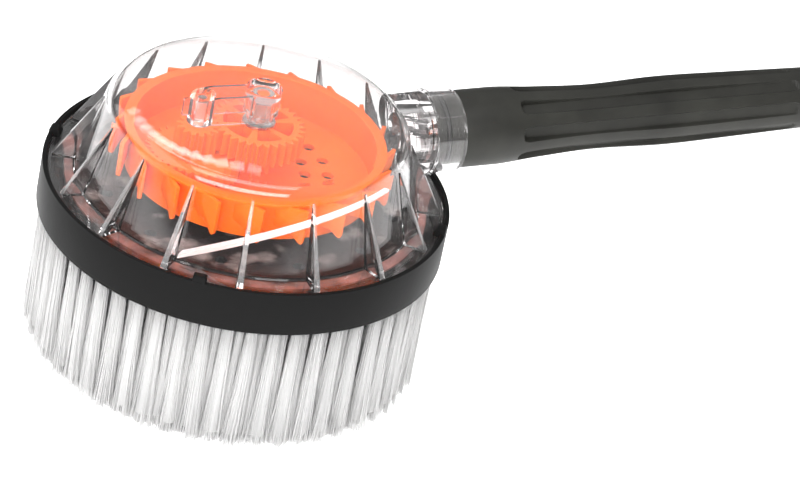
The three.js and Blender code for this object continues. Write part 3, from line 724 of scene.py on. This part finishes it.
def turbine_wheel():
    hub = 7.5
    bore = 4.6
    bottom = low("turbine").z
    bowl = lathe("bowl", rounded([
        (bore, bottom), (hub, bottom), (hub, BOWL_FLOOR - 2), (BOWL_RADIUS, BOWL_FLOOR - 2),
        (BOWL_RADIUS, TURBINE_RIM_TOP - RIM_THICKNESS),
        (TURBINE_RADIUS, TURBINE_RIM_TOP - RIM_THICKNESS),
        (TURBINE_RADIUS, TURBINE_RIM_TOP), (BOWL_RADIUS - BOWL_WALL, TURBINE_RIM_TOP),
        (BOWL_RADIUS - BOWL_WALL, BOWL_FLOOR), (bore, BOWL_FLOOR),
    ], 0.4))
    combine(bowl, drain_holes(), "DIFFERENCE")
    spacing = 2 * math.pi / BLADE_COUNT
    blades = [turbine_blade(BLADE_FIRST_ANGLE + i * spacing) for i in range(BLADE_COUNT)]
    return joined("turbine_wheel", [bowl] + blades + [pinion()])


def involute(angle):
    return math.tan(angle) - angle


def pinion(teeth=13, module=1.125, pressure_angle=math.radians(25), backlash=0.3):
    """The turbine's pinion, as in the CAD part, with finer flanks."""
    pitch = module * teeth / 2
    base = pitch * math.cos(pressure_angle)
    tip = pitch + module
    root = pitch - 1.25 * module

    def half_angle(radius):
        pressure = math.acos(min(1, base / radius))
        at_pitch = math.pi / (2 * teeth) - backlash / (4 * pitch)
        return at_pitch + involute(pressure_angle) - involute(pressure)

    start = max(base, root)
    flank = [(root, half_angle(start))]
    flank += [(r, half_angle(r)) for r in (start + (tip - start) * k / 6 for k in range(7))]
    outline = []
    for i in range(teeth):
        centre = 2 * math.pi * i / teeth
        outline += [(r * math.cos(centre - half), r * math.sin(centre - half)) for r, half in flank]
        outline += [(r * math.cos(centre + half), r * math.sin(centre + half))
                    for r, half in reversed(flank)]
    return prism("pinion", outline, BOWL_FLOOR - 1, PINION_TOP)


# ---------------------------------------------------------------- handle


def grip_radius(along):
    """Smooth curve through the grip's waist and bulge."""
    places = (18, 34, 60, 92, 124, 158, 200, 242)
    radii = (15.4, 14.2, 13.0, 13.9, 13.2, 12.3, 12.0, 12.0)
    if along <= places[0]:
        return radii[0]
    k = max(i for i in range(len(places) - 1) if places[i] <= along)
    t = (along - places[k]) / (places[k + 1] - places[k])
    before = radii[max(k - 1, 0)]
    start, end = radii[k], radii[k + 1]
    after = radii[min(k + 2, len(radii) - 1)]
    return 0.5 * (2 * start + (end - before) * t
                  + (2 * before - 5 * start + 4 * end - after) * t ** 2
                  + (3 * start - before - 3 * end + after) * t ** 3)


def flute_dent(angle, radius, along):
    """How deep the surface is cut at a place: round-ended grooves along the grip, with flat
    floors and steep sides."""
    spacing = 2 * math.pi / FLUTE_COUNT
    turn = (angle - FLUTE_FIRST_ANGLE + spacing / 2) % spacing - spacing / 2
    past = max(FLUTE_START + FLUTE_HALF_WIDTH - along, along - FLUTE_END + FLUTE_HALF_WIDTH, 0)
    share = math.hypot(turn / FLUTE_HALF_TURN, past / FLUTE_HALF_WIDTH)
    if share > 1 or radius < FLUTE_FLOOR:
        return 0
    side = min(1, (1 - share) / 0.2)
    return (radius - FLUTE_FLOOR / math.cos(turn)) * side ** 2 * (3 - 2 * side)


def flute_angles():
    """Places round the grip, close together over each flute."""
    over = (-1.08, -1, -0.96, -0.92, -0.88, -0.84, -0.8, -0.5, 0)
    over = over + tuple(-share for share in reversed(over[:-1]))
    spacing = 2 * math.pi / FLUTE_COUNT
    free = spacing + 2 * over[0] * FLUTE_HALF_TURN
    between = [free * k / 7 - over[0] * FLUTE_HALF_TURN for k in range(1, 7)]
    one = [share * FLUTE_HALF_TURN for share in over] + between
    return [FLUTE_FIRST_ANGLE + i * spacing + angle for i in range(FLUTE_COUNT) for angle in one]


def grip_places():
    """Places along the grip, close together at the ends of the flutes."""
    fine = 0.2
    rise = round(FLUTE_HALF_WIDTH / fine) + 1
    places = [18 + 2 * k for k in range(4)]
    places += [FLUTE_START + fine * k for k in range(rise)]
    places += [FLUTE_START + 5 + 3 * k for k in range(39)]
    places += [FLUTE_END - fine * k for k in range(rise)]
    places += [FLUTE_END + 3 + 4 * k for k in range(13)]
    return sorted(places)


def grip():
    end = GRIP_LENGTH
    groove, groove_radius = (-8.2, -5.8), SPIGOT_RADIUS - 1.5
    front = -NECK_LENGTH + 0.4
    profile = [
        (GRIP_BORE, front), (SPIGOT_RADIUS - 0.5, front), (SPIGOT_RADIUS, front + 0.5),
        (SPIGOT_RADIUS, groove[0]), (groove_radius, groove[0]), (groove_radius, groove[1]),
        (SPIGOT_RADIUS, groove[1]), (SPIGOT_RADIUS, 0.3), (COLLAR_RADIUS - 0.4, 0.3),
        (COLLAR_RADIUS - 0.1, 0.4), (COLLAR_RADIUS, 0.7),
    ]
    profile += [(grip_radius(along), along) for along in grip_places()]
    profile += [
        (12.0, end - 12.6), (12.65, end - 12.3), (12.7, end - 11.9), (12.7, end - 0.5),
        (12.2, end), (GRIP_BORE, end),
    ]
    return lathe("grip", profile, place=HANDLE_FRAME, angles=flute_angles(), dent=flute_dent)


def o_ring(name, radius, section, along):
    profile = arc(radius, along, section, 0, 2 * math.pi * 15 / 16, 15)
    return lathe(name, profile, 96, HANDLE_FRAME)


def inlet_plug():
    """Male plug with two lugs, for a gun or a hose coupling."""
    end = GRIP_LENGTH
    plug = 9
    profile = rounded([
        (4, end - 7.4), (6, end - 7.4), (6, end + 0.3), (12.4, end + 0.3), (12.4, end + 4),
        (plug, end + 4), (plug, end + 18), (plug - 1.5, end + 18), (plug - 1.5, end + 20.4),
        (plug, end + 20.4), (plug, end + 27), (plug - 1, end + 28), (4, end + 28),
    ], 0.35)
    body = lathe("plug", profile, 96, HANDLE_FRAME)
    lugs = []
    for side in (-1, 1):
        inner, outer = sorted((side * (plug - 1), side * (plug + 2.6)))
        lugs.append(bevelled(box("lug", (inner, -2.5, end + 8), (outer, 2.5, end + 12),
                                 HANDLE_FRAME), 0.4))
    return combine(body, lugs, "UNION")


# ---------------------------------------------------------------- bristles


def tuft_core(root, lean, tip_height, root_radius, spread):
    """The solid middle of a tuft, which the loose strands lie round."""
    sides = 10
    fill = 0.85
    points = []
    for level in (0, 0.5, 0.9):
        centre = root + lean * level ** STRAND_BOW
        centre.z = root.z + (tip_height - root.z) * level
        reach = fill * (root_radius + (spread - root_radius) * level ** STRAND_BOW)
        for angle in even_turn(sides):
            points.append(centre + Vector((reach * math.cos(angle), reach * math.sin(angle), 0)))
    faces = [tuple(range(sides)), tuple(reversed(range(2 * sides, 3 * sides)))]
    for start in (0, sides):
        for k in range(sides):
            after = (k + 1) % sides
            faces.append((start + after, start + k, start + sides + k, start + sides + after))
    return points, faces


def tuft(dice, root, lean, tip_height, strands, root_radius, spread, width):
    """Strands that leave one hole together and fan out to ragged tips. Each is a thin
    three-sided rod in two lengths."""
    points, faces = tuft_core(root, lean, tip_height, root_radius, spread)
    for _ in range(strands):
        turn = dice.uniform(0, 2 * math.pi)
        share = math.sqrt(dice.random())
        away = Vector((math.cos(turn), math.sin(turn), 0))
        start = root + away * root_radius * share
        tip = root + lean + away * spread * share
        tip += Vector((dice.gauss(0, 0.5), dice.gauss(0, 0.5), 0))
        tip.z = tip_height + abs(dice.gauss(0, 0.7))
        first = len(points)
        phase = dice.uniform(0, 2 * math.pi)
        levels = (0, 0.5, 1)
        for level in levels:
            bow = level ** STRAND_BOW
            centre = Vector((start.x + (tip.x - start.x) * bow, start.y + (tip.y - start.y) * bow,
                             start.z + (tip.z - start.z) * level))
            reach = width / 2 * (1 - 0.25 * level)
            for k in range(3):
                corner = phase + 2 * math.pi * k / 3
                points.append(centre + Vector((reach * math.cos(corner), reach * math.sin(corner), 0)))
        for step in range(len(levels) - 1):
            for k in range(3):
                a = first + 3 * step + k
                b = first + 3 * step + (k + 1) % 3
                faces.append((b, a, a + 3, b + 3))
        last = first + 3 * (len(levels) - 1)
        faces.append((last + 2, last + 1, last))
        faces.append((first, first + 1, first + 2))
    return points, faces


def tuft_field(name, rings, tip_height, dice, **shape):
    """Tufts on several rings of (radius, root height, number of tufts, outward lean)."""
    points = []
    faces = []
    for index, (radius, root_height, count, outward_lean) in enumerate(rings):
        for i in range(count):
            angle = 2 * math.pi * (i + 0.5 * (index % 2)) / count + dice.gauss(0, 0.004)
            away = Vector((math.cos(angle), math.sin(angle), 0))
            along = Vector((-math.sin(angle), math.cos(angle), 0))
            root = away * radius + Vector((0, 0, root_height))
            lean = away * outward_lean + along * dice.gauss(0, 0.8) + away * dice.gauss(0, 0.3)
            more_points, more_faces = tuft(dice, root, lean, tip_height, **shape)
            start = len(points)
            points += more_points
            faces += [tuple(start + k for k in face) for face in more_faces]
    field = mesh_object(name, points, faces)
    smooth(field, 180)
    return field


def outer_tufts():
    root = SKIRT_BOTTOM + 0.5
    rings = [(75.9, root, 54, -2.0), (72.1, root, 54, -0.4)]
    return tuft_field("outer_tufts", rings, 0.0, random.Random(11),
                      strands=115, root_radius=2.1, spread=4.1, width=0.55)


def inner_tufts():
    root = DISC_BOTTOM + 0.5
    rings = []
    for k in range(7):
        radius = 12.5 + 7.8 * k
        rings.append((radius, root, round(2 * math.pi * radius / 8.2), 0.0))
    return tuft_field("inner_tufts", rings, 0.0, random.Random(12),
                      strands=34, root_radius=2.2, spread=4.0, width=0.75)


# ---------------------------------------------------------------- the object

clear = clear_plastic("clear_plastic", 0.994)
hazy = clear_plastic("hazy_plastic", 0.98)
edge_haze = clear_plastic("edge_haze", 0.8, 0.1)
frosted = clear_plastic("frosted_plastic", 0.6, 0.3)
orange = orange_plastic()
black = black_plastic()
plate = plate_plastic()
grey = grip_plastic()
nylon = bristle_nylon()
red = red_rubber()
dark_rubber = black_rubber()
metal = steel()
bearing = bronze()
natural = natural_nylon()

piece(clear_housing(), "housing", "clear_shell", clear, "dome_housing")
piece(skirt(), "housing", "black_moulding", black, "skirt_ring")
piece(base_seal(), "housing", "red_rubber", red, "base_seal")
piece(outer_tufts(), "housing", "bristle", nylon, "outer_bristles")
piece(inner_tufts(), "brush", "bristle", nylon, "inner_bristles")
piece(turbine_wheel(), "turbine", "orange_moulding", orange, "turbine")
piece(grip(), "housing", "grip_moulding", grey, "handle_grip")
piece(inlet_plug(), "housing", "black_moulding", black, "inlet_plug")
seal_radius = SPIGOT_RADIUS - 0.6
piece(o_ring("spigot_seal", seal_radius, 0.8, -7), "housing", "black_rubber", dark_rubber, "neck_seal")
piece(o_ring("plug_seal", 8.4, 0.8, GRIP_LENGTH + 19.2), "housing", "black_rubber", dark_rubber,
      "inlet_seal")

looks = {
    orange: ("layshaft_gear", "output_gear", "output_shaft"),
    clear: ("jet_nozzle",),
    plate: ("base_plate",),
    black: ("brush_disc", "water_tube"),
    natural: ("upper_bush", "layshaft_pin"),
    metal: ("layshaft_clip", "gear_washer", "thrust_washer",
            "disc_screw", "disc_washer"),
    bearing: ("base_bush", "turbine_bush"),
}
for material, names in looks.items():
    for name in names:
        nodes[name].data.materials.clear()
        nodes[name].data.materials.append(material)

for name in ("layshaft_gear", "output_gear"):
    bevel(nodes[name], 0.18)

# ---------------------------------------------------------------- floor, lights, camera


def floor():
    """White near the object, and darker far out, where clear walls would mirror it."""
    size = 4000
    made = box("floor", (-size, -size, -2), (size, size, 0))
    material, shader = new_material("floor", (0.92, 0.92, 0.92), 0.6)
    tree = material.node_tree
    place = tree.nodes.new("ShaderNodeTexCoord")
    reach = tree.nodes.new("ShaderNodeVectorMath")
    reach.operation = "LENGTH"
    fade = tree.nodes.new("ShaderNodeMapRange")
    fade.interpolation_type = "SMOOTHSTEP"
    fade.inputs["From Min"].default_value = 900 * MM
    fade.inputs["From Max"].default_value = 2400 * MM
    fade.inputs["To Min"].default_value = 0.95
    fade.inputs["To Max"].default_value = 0
    shader.inputs["Emission Color"].default_value = (1, 1, 1, 1)
    tree.links.new(place.outputs["Object"], reach.inputs[0])
    tree.links.new(reach.outputs["Value"], fade.inputs["Value"])
    tree.links.new(fade.outputs["Result"], shader.inputs["Emission Strength"])
    made.data.materials.append(material)


def lamp(name, place, target, width, height, power):
    data = bpy.data.lights.new(name, "AREA")
    data.shape = "RECTANGLE"
    data.size = width * MM
    data.size_y = height * MM
    data.energy = power
    made = bpy.data.objects.new(name, data)
    bpy.context.scene.collection.objects.link(made)
    made.location = Vector(place) * MM
    aim = Vector(target) - Vector(place)
    made.rotation_euler = aim.to_track_quat("-Z", "Y").to_euler()


def crescent_lamps():
    """Small lamps in a bowed row, which the cap mirrors as one pale crescent."""
    start, bend, end = Vector((-120, 1200, 1020)), Vector((-300, 700, 1480)), Vector((260, 470, 1490))
    count = 12
    for i in range(count):
        t = i / (count - 1)
        place = start * (1 - t) ** 2 + bend * 2 * t * (1 - t) + end * t ** 2
        power = 0.16 * math.sin(math.pi * (0.12 + 0.76 * t))
        lamp(f"crescent_{i}", place, (0, 0, 100), 85, 85, power)


def world(horizon, front, back):
    """A white room, brighter behind the object than before it, and dim along the horizon."""
    made = bpy.data.worlds.new("studio")
    made.use_nodes = True
    tree = made.node_tree
    place = tree.nodes.new("ShaderNodeTexCoord")

    def blend(direction, start, end, low_value, high_value):
        along = tree.nodes.new("ShaderNodeVectorMath")
        along.operation = "DOT_PRODUCT"
        along.inputs[1].default_value = direction
        spread = tree.nodes.new("ShaderNodeMapRange")
        spread.interpolation_type = "SMOOTHSTEP"
        spread.inputs["From Min"].default_value = start
        spread.inputs["From Max"].default_value = end
        tree.links.new(place.outputs["Generated"], along.inputs[0])
        tree.links.new(along.outputs["Value"], spread.inputs["Value"])
        for name, value in (("To Min", low_value), ("To Max", high_value)):
            if isinstance(value, float):
                spread.inputs[name].default_value = value
            else:
                tree.links.new(value, spread.inputs[name])
        return spread.outputs["Result"]

    above = blend((0.48, 0.88, 0), -0.75, -0.1, front, back)
    strength = blend((0, 0, 1), 0.2, 0.5, horizon, above)
    tree.nodes["Background"].inputs["Color"].default_value = (1, 1, 1, 1)
    tree.links.new(strength, tree.nodes["Background"].inputs["Strength"])
    bpy.context.scene.world = made


def camera():
    """Looks down at the head from in front and to the left, rolled a little."""
    azimuth, elevation, roll = math.radians(-28.5), math.radians(31.07), math.radians(11.98)
    target = Vector((46.6, -45.6, 71.2))
    distance = 1600
    back = Vector((math.sin(azimuth) * math.cos(elevation),
                   -math.cos(azimuth) * math.cos(elevation), math.sin(elevation)))
    right = Vector((math.cos(azimuth), math.sin(azimuth), 0))
    up = back.cross(right)
    across = right * math.cos(roll) + up * math.sin(roll)
    upward = up * math.cos(roll) - right * math.sin(roll)
    data = bpy.data.cameras.new("camera")
    data.sensor_width = 36
    data.lens = 187.26
    data.clip_end = 50
    made = bpy.data.objects.new("camera", data)
    bpy.context.scene.collection.objects.link(made)
    turn = Matrix((across, upward, back)).transposed().to_4x4()
    made.matrix_world = Matrix.Translation((target + back * distance) * MM) @ turn
    bpy.context.scene.camera = made


floor()
world(0.05, 0.3, 0.55)
lamp("overhead", (-190, -340, 1530), (0, 0, 100), 1400, 400, 8)
lamp("far_left", (-1300, 900, 1200), (0, 0, 80), 2600, 1500, 14)
crescent_lamps()
lamp("front", (-830, -1520, 1050), (0, 0, 60), 2400, 700, 38)
camera()
bpy.context.scene.view_settings.view_transform = "Standard"
